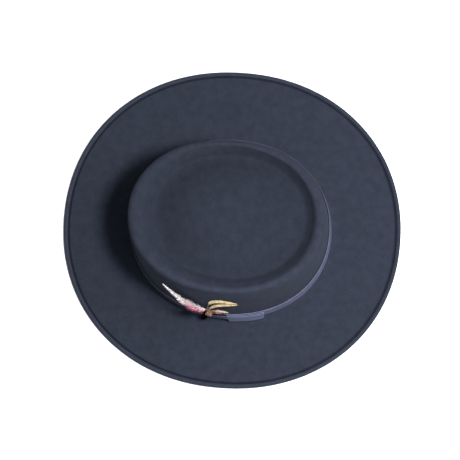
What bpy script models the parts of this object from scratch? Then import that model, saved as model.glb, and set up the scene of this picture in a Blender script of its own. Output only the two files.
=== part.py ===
"""Felt hat with a flat brim, a telescope crown, a ribbon band with a bow, and feathers.

Metres. +Z is up, the brim rests on z = 0, the front of the hat is towards -Y and the bow is on +X.
"""

import math

import bmesh
import bpy
from mathutils import Vector

# Main sizes of the hat
BRIM_LENGTH = 0.342
BRIM_WIDTH = 0.3246
CROWN_HEIGHT = 0.092
CROWN_LENGTH = 0.2010
CROWN_WIDTH = 0.1788
FELT_THICKNESS = 0.002
OPENING_FLARE = 0.0012
BRIM_SQUARENESS = 2.1
CROWN_SQUARENESS = 2.1

# Brim edge
EDGE_THICKNESS = 0.0032
EDGE_WIDTH = 0.0042
GROOVE_WIDTH = 0.0014
GROOVE_DEPTH = 0.0005

# Ribbon
BAND_HEIGHT = 0.019
BAND_LIFT = 0.0048
RIBBON_THICKNESS = 0.0008
PIECE_GAP = 0.0004

# Bow, measured along the hat from its middle, positive towards the back
LOOP_START = 0.0005
LOOP_SLANT = 0.0032
LOOP_END = 0.0370
LOOP_DEPTH = 0.0030
LOOP_HEIGHT = 0.0188
LOOP_CLOSE = 0.35
TAIL_END = -0.0390
TAIL_HEIGHT = 0.0175
TAIL_FLARE = 0.0008
TAIL_START_FLARE = 0.0010

# Feathers
BINDING_Y = -0.0172
BINDING_TOP = 0.0415
BINDING_RADIUS = 0.0022
FEATHER_THICKNESS = 0.0007

# Height of the middle of the top, as a share of CROWN_HEIGHT
DOME_TOP = 0.977

# Fineness of the curved surfaces
SEGMENTS = 72
BAND_STEPS = 5

# Crown sections from the middle of the top down to the foot
# length share of CROWN_LENGTH, width share of CROWN_WIDTH, height share of CROWN_HEIGHT,
# forward and bow_side: how far the section's middle stands towards the front and the bow
CROWN_SECTIONS = (
    {"name": "dome_inner", "length": 0.196, "width": 0.183, "height": 0.972, "forward": 0.0025, "bow_side": 0.0010},
    {"name": "dome_middle", "length": 0.392, "width": 0.361, "height": 0.957, "forward": 0.0025, "bow_side": 0.0010},
    {"name": "dome_outer", "length": 0.539, "width": 0.508, "height": 0.92, "forward": 0.0024, "bow_side": 0.0010},
    {"name": "moat_inner", "length": 0.637, "width": 0.594, "height": 0.887, "forward": 0.0024, "bow_side": 0.0010},
    {"name": "moat_floor", "length": 0.696, "width": 0.65, "height": 0.874, "forward": 0.0024, "bow_side": 0.0010},
    {"name": "moat_outer", "length": 0.745, "width": 0.687, "height": 0.882, "forward": 0.0025, "bow_side": 0.0011},
    {"name": "slope", "length": 0.795, "width": 0.727, "height": 0.935, "forward": 0.0030, "bow_side": 0.0014},
    {"name": "bead_inner", "length": 0.838, "width": 0.768, "height": 0.983, "forward": 0.0045, "bow_side": 0.0023},
    {"name": "bead_top", "length": 0.877, "width": 0.791, "height": 1.0, "forward": 0.0056, "bow_side": 0.0029},
    {"name": "bead_outer", "length": 0.923, "width": 0.825, "height": 0.991, "forward": 0.0060, "bow_side": 0.0029},
    {"name": "shoulder", "length": 0.954, "width": 0.845, "height": 0.957, "forward": 0.0059, "bow_side": 0.0027},
    {"name": "side_high", "length": 0.966, "width": 0.858, "height": 0.87, "forward": 0.0053, "bow_side": 0.0025},
    {"name": "side_upper", "length": 0.972, "width": 0.899, "height": 0.7, "forward": 0.0044, "bow_side": 0.0023},
    {"name": "side_middle", "length": 0.978, "width": 0.9395, "height": 0.5, "forward": 0.0034, "bow_side": 0.0021},
    {"name": "band_top", "length": 0.986, "width": 0.9787, "height": 0.29, "forward": 0.0024, "bow_side": 0.0018},
    {"name": "side_foot", "length": 0.994, "width": 0.9927, "height": 0.14, "forward": 0.0015, "bow_side": 0.0015},
    {"name": "foot", "length": 1.0, "width": 1.0, "height": 0.05, "forward": 0.0009, "bow_side": 0.0014},
    {"name": "break_high", "length": 1.006, "width": 1.006, "height": 0.034, "forward": 0.0008, "bow_side": 0.0013},
    {"name": "break_low", "length": 1.024, "width": 1.026, "height": 0.025, "forward": 0.0005, "bow_side": 0.0010},
)

# Crown side sections that ribbon and feathers lie on
SIDE_NAMES = ("shoulder", "side_high", "side_upper", "side_middle", "band_top", "side_foot", "foot")

# Feather sections: share of the feather's own length, half width as a share of its own width
PLUME_SECTIONS = (
    {"along": 0.0, "half_width": 0.12},
    {"along": 0.12, "half_width": 0.32},
    {"along": 0.28, "half_width": 0.46},
    {"along": 0.46, "half_width": 0.50},
    {"along": 0.60, "half_width": 0.42},
    {"along": 0.74, "half_width": 0.26},
    {"along": 0.88, "half_width": 0.17},
    {"along": 1.0, "half_width": 0.04},
)
BLADE_SECTIONS = (
    {"along": 0.0, "half_width": 0.16},
    {"along": 0.15, "half_width": 0.30},
    {"along": 0.35, "half_width": 0.46},
    {"along": 0.60, "half_width": 0.50},
    {"along": 0.82, "half_width": 0.36},
    {"along": 1.0, "half_width": 0.06},
)

# A lock of barbs: share of its length, then its half width, half thickness and droop there
LOCK_SECTIONS = (
    {"reach": 0.0, "width": 0.0015, "thickness": 0.0004, "droop": 0.0},
    {"reach": 0.4, "width": 0.0013, "thickness": 0.00036, "droop": 0.0001},
    {"reach": 0.75, "width": 0.0009, "thickness": 0.0003, "droop": 0.0},
    {"reach": 1.0, "width": 0.0003, "thickness": 0.0002, "droop": -0.0002},
)

# Step used to measure how the crown's side slopes
FRAME_STEP = 0.001

# Feathers: each middle line starts, bends and ends at (place along the hat, height)
QUILL_TOP = BINDING_TOP + PIECE_GAP
QUILL_SPREAD = 0.0006
PLUME_DROP = 0.0005
STUB_DROP = 0.0012
FEATHERS = (
    {"name": "plume_white", "start": (BINDING_Y - BINDING_RADIUS - PIECE_GAP * 2, BINDING_TOP - PLUME_DROP),
     "bend": (-0.0400, 0.0548), "end": (-0.0607, 0.0800), "width": 0.0150, "sections": PLUME_SECTIONS,
     "locks": 8, "lock_length": 0.0050, "lift": 0.0032, "rise": 0.0020},
    {"name": "feather_gold_upper", "start": (BINDING_Y - QUILL_SPREAD, QUILL_TOP), "bend": (-0.0202, 0.0788),
     "end": (0.0115, 0.0608), "width": 0.0062, "sections": BLADE_SECTIONS,
     "locks": 0, "lock_length": 0.0, "lift": 0.0013, "rise": 0.0},
    {"name": "feather_gold_lower", "start": (BINDING_Y + QUILL_SPREAD, QUILL_TOP), "bend": (-0.0127, 0.0657),
     "end": (0.0114, 0.0622), "width": 0.0058, "sections": BLADE_SECTIONS,
     "locks": 0, "lock_length": 0.0, "lift": 0.0027, "rise": 0.0},
    {"name": "feather_stub", "start": (BINDING_Y + BINDING_RADIUS + PIECE_GAP, BINDING_TOP - STUB_DROP),
     "bend": (-0.0058, 0.0463), "end": (0.0027, 0.0381), "width": 0.0045, "sections": BLADE_SECTIONS,
     "locks": 0, "lock_length": 0.0, "lift": 0.0034, "rise": 0.0},
)


def clear_scene():
    for item in list(bpy.data.objects):
        bpy.data.objects.remove(item, do_unlink=True)


def make_collection(name):
    group = bpy.data.collections.new(name)
    bpy.context.scene.collection.children.link(group)
    return group


def make_material(name, colour, roughness, metallic):
    material = bpy.data.materials.new(name)
    material.use_nodes = True
    shader = material.node_tree.nodes["Principled BSDF"]
    shader.inputs["Base Color"].default_value = (*colour, 1.0)
    shader.inputs["Roughness"].default_value = roughness
    shader.inputs["Metallic"].default_value = metallic
    return material


def oval_point(angle, half_length, half_width, squareness, forward=0.0, bow_side=0.0):
    """A point of a squarish oval, by angle from +X towards +Y, moved to the front and the bow a little."""
    cosine = math.cos(angle)
    sine = math.sin(angle)
    reach = (abs(cosine / half_width) ** squareness + abs(sine / half_length) ** squareness) ** (-1 / squareness)
    return reach * cosine + bow_side, reach * sine - forward


def side_size(height):
    """Half length, half width and the forward and bow side places of the crown's side at a height."""
    rows = [row for row in CROWN_SECTIONS if row["name"] in SIDE_NAMES]
    share = max(rows[-1]["height"], min(rows[0]["height"], height / CROWN_HEIGHT))
    for high, low in zip(rows, rows[1:]):
        if low["height"] <= share <= high["height"]:
            break
    mix = (share - low["height"]) / (high["height"] - low["height"])
    length = low["length"] + (high["length"] - low["length"]) * mix
    width = low["width"] + (high["width"] - low["width"]) * mix
    forward = low["forward"] + (high["forward"] - low["forward"]) * mix
    bow_side = low["bow_side"] + (high["bow_side"] - low["bow_side"]) * mix
    return length * CROWN_LENGTH / 2, width * CROWN_WIDTH / 2, forward, bow_side


def side_point(along, height, lift):
    """A point on the bow side of the crown, lifted straight out from it."""
    half_length, half_width, forward, bow_side = side_size(height)
    share = (along + forward) / half_length
    across = half_width * (1 - abs(share) ** CROWN_SQUARENESS) ** (1 / CROWN_SQUARENESS)
    power = CROWN_SQUARENESS - 1
    normal = Vector(((across / half_width) ** power / half_width,
                     math.copysign(abs(share) ** power, share) / half_length, 0.0)).normalized()
    return Vector((across + bow_side, along, height)) + normal * lift


def mesh_object(name, mesh_data, group, material):
    mesh = bpy.data.meshes.new(name)
    mesh_data.to_mesh(mesh)
    mesh_data.free()
    item = bpy.data.objects.new(name, mesh)
    group.objects.link(item)
    item.data.materials.append(material)
    return item


def smooth(item, degrees):
    for face in item.data.polygons:
        face.use_smooth = True
    item.data.set_sharp_from_angle(angle=math.radians(degrees))


def apply_modifiers(item):
    graph = bpy.context.evaluated_depsgraph_get()
    made = bpy.data.meshes.new_from_object(item.evaluated_get(graph))
    old = item.data
    item.modifiers.clear()
    item.data = made
    bpy.data.meshes.remove(old)


def felt_profile():
    """Sections of the felt as (half length, half width, height, squareness, forward, bow side)."""
    rows = []
    for row in CROWN_SECTIONS:
        half_length = row["length"] * CROWN_LENGTH / 2
        half_width = row["width"] * CROWN_WIDTH / 2
        rows.append((half_length, half_width, row["height"] * CROWN_HEIGHT, CROWN_SQUARENESS,
                     row["forward"], row["bow_side"]))
    rim_length = BRIM_LENGTH / 2
    rim_width = BRIM_WIDTH / 2
    start_length, start_width = rows[-1][0], rows[-1][1]
    for share in (0.12, 0.45, 0.80):
        half_length = start_length + (rim_length - EDGE_WIDTH - GROOVE_WIDTH - start_length) * share
        half_width = start_width + (rim_width - EDGE_WIDTH - GROOVE_WIDTH - start_width) * share
        squareness = CROWN_SQUARENESS + (BRIM_SQUARENESS - CROWN_SQUARENESS) * share
        rows.append((half_length, half_width, FELT_THICKNESS, squareness, 0.0, 0.0))
    edge_rows = (
        (EDGE_WIDTH + GROOVE_WIDTH, FELT_THICKNESS),
        (EDGE_WIDTH + GROOVE_WIDTH * 0.5, FELT_THICKNESS - GROOVE_DEPTH),
        (EDGE_WIDTH, FELT_THICKNESS),
        (EDGE_WIDTH * 0.78, EDGE_THICKNESS * 0.93),
        (EDGE_WIDTH * 0.42, EDGE_THICKNESS),
        (EDGE_WIDTH * 0.12, EDGE_THICKNESS * 0.84),
        (0.0, EDGE_THICKNESS * 0.5),
        (EDGE_WIDTH * 0.1, EDGE_THICKNESS * 0.14),
        (EDGE_WIDTH * 0.3, 0.0),
    )
    for inset, height in edge_rows:
        rows.append((rim_length - inset, rim_width - inset, height, BRIM_SQUARENESS, 0.0, 0.0))
    return rows


def inner_profile():
    """Sections of the hollow, from the head opening up to the middle of the top."""
    rows = []
    opening = FELT_THICKNESS + OPENING_FLARE
    _, _, forward, bow_side = side_size(0.0)
    rows.append((CROWN_LENGTH / 2 + opening, CROWN_WIDTH / 2 + opening, 0.0, CROWN_SQUARENESS,
                 forward, bow_side))
    rows.append((CROWN_LENGTH / 2 - FELT_THICKNESS * 0.6, CROWN_WIDTH / 2 - FELT_THICKNESS * 0.6,
                 FELT_THICKNESS * 1.2, CROWN_SQUARENESS, forward, bow_side))
    thinning = {"shoulder": 1.0, "bead_outer": 1.15, "bead_top": 1.0}
    for row in reversed(CROWN_SECTIONS):
        if row["name"] in ("break_low", "break_high", "bead_inner"):
            continue
        half_length = row["length"] * CROWN_LENGTH / 2
        half_width = row["width"] * CROWN_WIDTH / 2
        height = row["height"] * CROWN_HEIGHT
        if row["name"] in SIDE_NAMES[1:]:
            inward, down = FELT_THICKNESS, 0.0
        elif row["name"] == "shoulder":
            inward, down = FELT_THICKNESS, FELT_THICKNESS * 0.25
        elif row["name"] == "bead_outer":
            inward, down = FELT_THICKNESS * 0.75, FELT_THICKNESS * 0.8
        elif row["name"] in ("slope", "moat_outer"):
            inward, down = -FELT_THICKNESS * 0.55, FELT_THICKNESS * 0.9
        else:
            inward, down = 0.0, FELT_THICKNESS
        inward *= thinning.get(row["name"], 1.0)
        rows.append((half_length - inward, half_width - inward, height - down, CROWN_SQUARENESS,
                     row["forward"], row["bow_side"]))
    return rows


def felt_body(group, material):
    """One closed felt wall: outside from the crown's middle to the brim edge, inside back up."""
    data = bmesh.new()
    top_height = CROWN_HEIGHT * DOME_TOP
    middle = CROWN_SECTIONS[0]
    first = data.verts.new((middle["bow_side"], -middle["forward"], top_height))
    last = data.verts.new((middle["bow_side"], -middle["forward"], top_height - FELT_THICKNESS))
    rings = []
    for half_length, half_width, height, squareness, forward, bow_side in felt_profile() + inner_profile():
        ring = []
        for step in range(SEGMENTS):
            angle = 2 * math.pi * step / SEGMENTS
            across, along = oval_point(angle, half_length, half_width, squareness, forward, bow_side)
            ring.append(data.verts.new((across, along, height)))
        rings.append(ring)
    for step in range(SEGMENTS):
        after = (step + 1) % SEGMENTS
        data.faces.new((first, rings[0][step], rings[0][after]))
        data.faces.new((last, rings[-1][after], rings[-1][step]))
        for upper, lower in zip(rings, rings[1:]):
            data.faces.new((upper[step], lower[step], lower[after], upper[after]))
    bmesh.ops.recalc_face_normals(data, faces=data.faces)
    item = mesh_object("felt_body", data, group, material)
    smooth(item, 50)
    return item


def hat_band(group, material):
    """The ribbon round the foot of the crown, an open strip given its thickness."""
    data = bmesh.new()
    rings = []
    for row in range(BAND_STEPS + 1):
        height = BAND_LIFT + BAND_HEIGHT * row / BAND_STEPS
        half_length, half_width, forward, bow_side = side_size(height)
        ring = []
        for step in range(SEGMENTS):
            angle = 2 * math.pi * step / SEGMENTS
            across, along = oval_point(angle, half_length + PIECE_GAP, half_width + PIECE_GAP,
                                       CROWN_SQUARENESS, forward, bow_side)
            ring.append(data.verts.new((across, along, height)))
        rings.append(ring)
    for lower, upper in zip(rings, rings[1:]):
        for step in range(SEGMENTS):
            after = (step + 1) % SEGMENTS
            data.faces.new((lower[step], lower[after], upper[after], upper[step]))
    item = mesh_object("hat_band", data, group, material)
    wall = item.modifiers.new("thickness", "SOLIDIFY")
    wall.thickness = RIBBON_THICKNESS
    wall.offset = 1.0
    wall.use_even_offset = True
    apply_modifiers(item)
    smooth(item, 50)
    return item


def ribbon_strip(name, path, low, high, slant, group, material):
    """A strip of ribbon that follows a path of (along, low lift, high lift, pull) points beside the crown.

    slant moves the foot of each column along by the share pull.
    """
    data = bmesh.new()
    columns = []
    for along, low_lift, high_lift, pull in path:
        column = []
        for row in range(BAND_STEPS + 1):
            share = row / BAND_STEPS
            place = along + slant * pull * (1 - share)
            lift = low_lift + (high_lift - low_lift) * share
            column.append(data.verts.new(side_point(place, low + (high - low) * share, lift)))
        columns.append(column)
    for one, two in zip(columns, columns[1:]):
        for row in range(BAND_STEPS):
            data.faces.new((one[row], two[row], two[row + 1], one[row + 1]))
    item = mesh_object(name, data, group, material)
    wall = item.modifiers.new("thickness", "SOLIDIFY")
    wall.thickness = RIBBON_THICKNESS
    wall.offset = 0.0
    wall.use_even_offset = True
    apply_modifiers(item)
    smooth(item, 50)
    return item


def bow(group, material):
    """The flat bow: a folded loop to the back with a slanted end, and a stiff tail to the front.

    The loop is pressed together along its top edge. The tail stands straight off the crown.
    """
    layer = RIBBON_THICKNESS
    seat = PIECE_GAP + layer + PIECE_GAP + layer / 2
    reach = LOOP_END - LOOP_START
    fold = LOOP_DEPTH - layer
    shape = [(LOOP_START + reach * share, 0.0, 1 - share) for share in (0.0, 0.25, 0.5, 0.75, 0.93)]
    shape.append((LOOP_END - layer / 2, 0.28, 0.0))
    shape.append((LOOP_END - layer / 2, 0.72, 0.0))
    for share, lift in ((0.93, 1.0), (0.75, 1.04), (0.5, 1.03), (0.25, 1.0), (0.0, 0.97)):
        shape.append((LOOP_START + reach * share, lift, 1 - share))
    loop = [(along, seat + fold * lift, seat + fold * lift * (1 - LOOP_CLOSE), pull)
            for along, lift, pull in shape]
    ribbon_strip("bow_loop", loop, BAND_LIFT, BAND_LIFT + LOOP_HEIGHT, LOOP_SLANT, group, material)

    tail_start = LOOP_START - PIECE_GAP - layer
    tail_reach = tail_start - TAIL_END
    tail = []
    for share in (0.0, 0.2, 0.4, 0.6, 0.8, 1.0):
        flare = TAIL_START_FLARE + (TAIL_FLARE - TAIL_START_FLARE) * share
        tail.append((tail_start - tail_reach * share, seat, seat + flare, 1 - share))
    ribbon_strip("bow_tail", tail, BAND_LIFT, BAND_LIFT + TAIL_HEIGHT, LOOP_SLANT, group, material)


def quill_point(row, share):
    """A point of a feather's bent middle line, as place along the hat and height."""
    start, bend, end = (Vector(row[key]) for key in ("start", "bend", "end"))
    return start * (1 - share) ** 2 + bend * 2 * share * (1 - share) + end * share ** 2


def feather_frame(row, share):
    """Middle point, sideways, onward and outward directions of a feather at a share of its length."""
    lift = row["lift"] + row["rise"] * math.sin(share * math.pi / 2)
    small = 0.01
    middle = quill_point(row, share)
    before = quill_point(row, share - small)
    after = quill_point(row, share + small)
    centre = side_point(middle.x, middle.y, lift)
    onward = (side_point(after.x, after.y, lift) - side_point(before.x, before.y, lift)).normalized()
    upward = side_point(middle.x, middle.y + FRAME_STEP, lift) - side_point(middle.x, middle.y, lift)
    ahead = side_point(middle.x + FRAME_STEP, middle.y, lift) - side_point(middle.x, middle.y, lift)
    outward = ahead.cross(upward).normalized()
    sideways = outward.cross(onward).normalized()
    return centre, sideways, onward, outward


def blade(name, row, group, material):
    """A feather's blade, a loft of flat lens sections along its quill."""
    data = bmesh.new()
    rings = []
    for section in row["sections"]:
        centre, sideways, onward, outward = feather_frame(row, section["along"])
        half = section["half_width"] * row["width"]
        thick = FEATHER_THICKNESS
        ring = [data.verts.new(centre + sideways * half * across + outward * thick * out)
                for across, out in ((-1.0, -0.25), (-0.5, 0.3), (0.0, 0.75), (0.5, 0.3), (1.0, -0.25),
                                    (0.5, -0.5), (0.0, -0.35), (-0.5, -0.5))]
        rings.append(ring)
    count = len(rings[0])
    for one, two in zip(rings, rings[1:]):
        for step in range(count):
            after = (step + 1) % count
            data.faces.new((one[step], one[after], two[after], two[step]))
    data.faces.new(list(reversed(rings[0])))
    data.faces.new(rings[-1])
    bmesh.ops.recalc_face_normals(data, faces=data.faces)
    return mesh_object(name, data, group, material)


def lock(name, row, share, half, sign, length, group, material):
    """One lock of barbs, a tapered strip that leaves the blade at a slant."""
    data = bmesh.new()
    centre, sideways, onward, outward = feather_frame(row, share)
    root = centre + sideways * sign * half * 0.35
    way = (sideways * sign * 0.72 + onward * 0.62).normalized()
    across = outward.cross(way).normalized()
    rings = []
    for section in LOCK_SECTIONS:
        middle = root + way * (half * 0.5 + length) * section["reach"] + outward * section["droop"]
        ring = [data.verts.new(middle + across * section["width"] * a + outward * section["thickness"] * o)
                for a, o in ((-1, 0), (0, 1), (1, 0), (0, -1))]
        rings.append(ring)
    for one, two in zip(rings, rings[1:]):
        for step in range(4):
            after = (step + 1) % 4
            data.faces.new((one[step], one[after], two[after], two[step]))
    data.faces.new(list(reversed(rings[0])))
    data.faces.new(rings[-1])
    bmesh.ops.recalc_face_normals(data, faces=data.faces)
    return mesh_object(name, data, group, material)


def half_width_at(sections, share):
    for one, two in zip(sections, sections[1:]):
        if one["along"] <= share <= two["along"]:
            mix = (share - one["along"]) / (two["along"] - one["along"])
            return one["half_width"] + (two["half_width"] - one["half_width"]) * mix
    return sections[-1]["half_width"]


def feather(row, group, cutters, material):
    """A feather: the blade, with its locks fused to it."""
    item = blade(row["name"], row, group, material)
    made = []
    for index in range(row["locks"]):
        share = 0.10 + 0.56 * index / max(1, row["locks"] - 1)
        half_share = half_width_at(row["sections"], share)
        for sign in (-1, 1):
            reach = row["lock_length"] * (0.75 + 0.25 * math.sin(index * 2.3 + sign))
            name = f"{row['name']}_lock_{index}_{'up' if sign > 0 else 'down'}"
            made.append(lock(name, row, share + 0.012 * sign, half_share * row["width"], sign, reach,
                             cutters, material))
    for piece in made:
        piece.hide_render = True
        piece.display_type = "WIRE"
        join = item.modifiers.new(piece.name, "BOOLEAN")
        join.operation = "UNION"
        join.solver = "EXACT"
        join.object = piece
        apply_modifiers(item)
        bpy.data.objects.remove(piece, do_unlink=True)
    smooth(item, 60)
    return item


def feather_binding(group, material):
    """The wrapped quills, a short upright roll from the ribbon's top edge, laid along the crown."""
    lift = BINDING_RADIUS + PIECE_GAP * 1.5
    low = side_point(BINDING_Y, BAND_LIFT + BAND_HEIGHT + PIECE_GAP * 2, lift)
    high = side_point(BINDING_Y, BINDING_TOP, lift)
    bpy.ops.mesh.primitive_cylinder_add(vertices=20, radius=BINDING_RADIUS, depth=(high - low).length,
                                        location=(low + high) / 2)
    item = bpy.context.active_object
    item.name = "feather_binding"
    item.data.name = "feather_binding"
    item.rotation_mode = "QUATERNION"
    item.rotation_quaternion = (high - low).to_track_quat("Z", "X")
    for owner in list(item.users_collection):
        owner.objects.unlink(item)
    group.objects.link(item)
    item.data.materials.append(material)
    edge = item.modifiers.new("round_ends", "BEVEL")
    edge.width = 0.0004
    edge.segments = 2
    apply_modifiers(item)
    smooth(item, 50)
    return item


def build():
    clear_scene()
    group = make_collection("felt_hat")
    cutters = make_collection("felt_hat_helpers")
    felt = make_material("wool_felt", (0.042, 0.050, 0.072), 0.92, 0.0)
    ribbon = make_material("ribbon", (0.085, 0.100, 0.152), 0.55, 0.0)
    white = make_material("plume", (0.78, 0.66, 0.64), 0.8, 0.0)
    gold = make_material("gold_feather", (0.42, 0.25, 0.08), 0.5, 0.0)
    wrap = make_material("binding", (0.10, 0.05, 0.03), 0.6, 0.0)
    felt_body(group, felt)
    hat_band(group, ribbon)
    bow(group, ribbon)
    for row in FEATHERS:
        feather(row, group, cutters, white if row["name"] == "plume_white" else gold)
    feather_binding(group, wrap)


build()
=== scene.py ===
"""A dark felt hat with a flat brim, a telescope crown, a ribbon band with a flat bow, and feathers.

Metres. +Z is up, the front of the hat is towards -Y and the bow is on +X, the wearer's left.
"""

import math
import random

import bmesh
import bpy
from mathutils import Matrix, Vector, noise


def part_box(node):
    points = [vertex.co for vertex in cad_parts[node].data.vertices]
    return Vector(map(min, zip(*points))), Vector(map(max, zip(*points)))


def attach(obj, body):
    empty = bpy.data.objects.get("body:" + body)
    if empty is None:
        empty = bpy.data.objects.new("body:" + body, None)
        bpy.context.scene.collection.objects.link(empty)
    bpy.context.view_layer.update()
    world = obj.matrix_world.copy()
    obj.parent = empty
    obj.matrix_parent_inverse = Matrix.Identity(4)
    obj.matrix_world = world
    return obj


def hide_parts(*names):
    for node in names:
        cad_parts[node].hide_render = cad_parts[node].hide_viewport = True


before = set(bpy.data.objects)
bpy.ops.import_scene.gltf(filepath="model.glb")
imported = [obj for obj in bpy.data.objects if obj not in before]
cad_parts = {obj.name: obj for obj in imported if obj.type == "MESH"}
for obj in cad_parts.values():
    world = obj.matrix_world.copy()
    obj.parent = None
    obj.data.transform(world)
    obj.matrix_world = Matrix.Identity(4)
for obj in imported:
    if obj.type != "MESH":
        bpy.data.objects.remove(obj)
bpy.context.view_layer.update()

# Main sizes, read from the frame
FELT_LOW, FELT_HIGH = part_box("felt_body")
BRIM_LENGTH = FELT_HIGH[1] - FELT_LOW[1]
BRIM_WIDTH = FELT_HIGH[0] - FELT_LOW[0]
CROWN_HEIGHT = FELT_HIGH[2] - FELT_LOW[2]
BAND_LOW, BAND_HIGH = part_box("hat_band")
BAND_FOOT = BAND_LOW[2]
BAND_TOP = BAND_HIGH[2]

# Felt
CROWN_LENGTH = 0.2010
CROWN_WIDTH = 0.1788
DOME_TOP = 0.977
FELT_THICKNESS = 0.002
OVAL_POWER_BRIM = 2.1
OVAL_POWER_CROWN = 2.1
EDGE_THICKNESS = 0.0032
EDGE_WIDTH = 0.0042
GROOVE_WIDTH = 0.0016
GROOVE_DEPTH = 0.0007
OPENING_FLARE = 0.0012
LIP_INSET = FELT_THICKNESS * 0.6
LIP_HEIGHT = FELT_THICKNESS * 1.2

# The flat brim: shares of the way from the crown to the edge groove
BRIM_SHARES = (0.06, 0.12, 0.28, 0.45, 0.62, 0.80, 0.95)

# The brim's edge from the groove outwards and round below: how far in from the rim, how high
EDGE_ROWS = (
    {"inset": EDGE_WIDTH + GROOVE_WIDTH, "height": FELT_THICKNESS},
    {"inset": EDGE_WIDTH + GROOVE_WIDTH * 0.72, "height": FELT_THICKNESS - GROOVE_DEPTH * 0.6},
    {"inset": EDGE_WIDTH + GROOVE_WIDTH * 0.45, "height": FELT_THICKNESS - GROOVE_DEPTH},
    {"inset": EDGE_WIDTH + GROOVE_WIDTH * 0.15, "height": FELT_THICKNESS - GROOVE_DEPTH * 0.5},
    {"inset": EDGE_WIDTH * 0.93, "height": FELT_THICKNESS + (EDGE_THICKNESS - FELT_THICKNESS) * 0.35},
    {"inset": EDGE_WIDTH * 0.78, "height": EDGE_THICKNESS * 0.93},
    {"inset": EDGE_WIDTH * 0.60, "height": EDGE_THICKNESS * 0.99},
    {"inset": EDGE_WIDTH * 0.42, "height": EDGE_THICKNESS},
    {"inset": EDGE_WIDTH * 0.24, "height": EDGE_THICKNESS * 0.94},
    {"inset": EDGE_WIDTH * 0.10, "height": EDGE_THICKNESS * 0.82},
    {"inset": 0.0, "height": EDGE_THICKNESS * 0.5},
    {"inset": EDGE_WIDTH * 0.05, "height": EDGE_THICKNESS * 0.25},
    {"inset": EDGE_WIDTH * 0.13, "height": EDGE_THICKNESS * 0.08},
    {"inset": EDGE_WIDTH * 0.3, "height": 0.0},
)

# Unevenness of the felt: its height, how closely the two waves follow, and where they begin
FELT_WAVE = 0.00035
BROAD_WAVES = 24.0
FINE_WAVES = 90.0
FINE_SHARE = 0.35
FLAT_BELOW = 0.0006
FULL_WAVE_HEIGHT = 0.02
LOW_WAVE = 0.45
UPWARD_WAVE = 0.8
SIDE_BEGINS_HEIGHT = 0.01
SIDE_BEGINS_RADIUS = 0.02

# Ribbon
RIBBON_THICKNESS = 0.0008
RIB_PITCH = 0.00085
RIB_DEPTH = 0.00010
PIECE_GAP = 0.0004
HALF_STEP = 0.0005
PATH_STEPS = 12
FEWEST_STATIONS = 6

# The ribbon from its foot to its top: share of its height, share of its thickness
RIBBON_ROWS = (
    {"height": 0.0, "thickness": 0.25},
    {"height": 0.012, "thickness": 0.9},
    {"height": 0.03, "thickness": 1.1},
    {"height": 0.05, "thickness": 0.95},
    {"height": 0.35, "thickness": 0.95},
    {"height": 0.65, "thickness": 0.95},
    {"height": 0.95, "thickness": 0.95},
    {"height": 0.97, "thickness": 1.1},
    {"height": 0.988, "thickness": 0.9},
    {"height": 1.0, "thickness": 0.25},
)

# Painted light on the ribbon, round the crown from the bow side at 0 degrees to the back at 90: paler
# towards the lamps, darker in the shade
RIBBON_PAINTED_LIGHT = (
    {"turn": -180.0, "tone": 0.40},
    {"turn": -14.0, "tone": 0.45},
    {"turn": -1.5, "tone": 0.70},
    {"turn": 1.0, "tone": 1.30},
    {"turn": 24.0, "tone": 1.25},
    {"turn": 34.0, "tone": 0.95},
    {"turn": 88.0, "tone": 0.82},
    {"turn": 104.0, "tone": 0.55},
    {"turn": 120.0, "tone": 0.40},
    {"turn": 180.0, "tone": 0.40},
)

# Where the felt's tone changes, and how pale it is painted: painted sheen on the bow side, painted shade in
# the brim's groove, a painted highlight on the edge
TOP_BEGINS = CROWN_HEIGHT * 0.86
CROWN_BEGINS = EDGE_THICKNESS * 1.6
EDGE_ZONE = EDGE_WIDTH + GROOVE_WIDTH * 1.6
GROOVE_BEGINS = EDGE_WIDTH * 0.97
BOW_SIDE_PAINTED_SHEEN = 0.2
GROOVE_PAINTED_SHADE = 0.62
EDGE_PAINTED_HIGHLIGHT = 1.22
EDGE_PAINTED_HIGHLIGHT_BACK = 0.12

# Painted light on the crown's top, by ring: share of the length, then the tone on each side, darker for
# painted shade on the dome and paler on the bead, a painted highlight that is partly real wear
TOP_WEAR_AND_PAINTED_LIGHT = (
    {"ring": 0.0, "front": 0.86, "back": 0.86, "bow": 0.86, "far": 0.86},
    {"ring": 0.40, "front": 0.82, "back": 0.78, "bow": 0.88, "far": 0.80},
    {"ring": 0.60, "front": 0.78, "back": 0.78, "bow": 0.92, "far": 0.76},
    {"ring": 0.70, "front": 0.76, "back": 0.86, "bow": 0.88, "far": 0.80},
    {"ring": 0.79, "front": 0.78, "back": 1.00, "bow": 0.84, "far": 0.94},
    {"ring": 0.86, "front": 0.88, "back": 0.84, "bow": 0.96, "far": 0.94},
    {"ring": 0.91, "front": 1.06, "back": 0.94, "bow": 1.28, "far": 1.02},
    {"ring": 0.95, "front": 1.06, "back": 0.98, "bow": 1.38, "far": 1.06},
    {"ring": 0.98, "front": 1.00, "back": 1.00, "bow": 1.25, "far": 1.00},
)

# Fineness
FELT_SEGMENTS = 360
PROFILE_STEPS = 4

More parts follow.
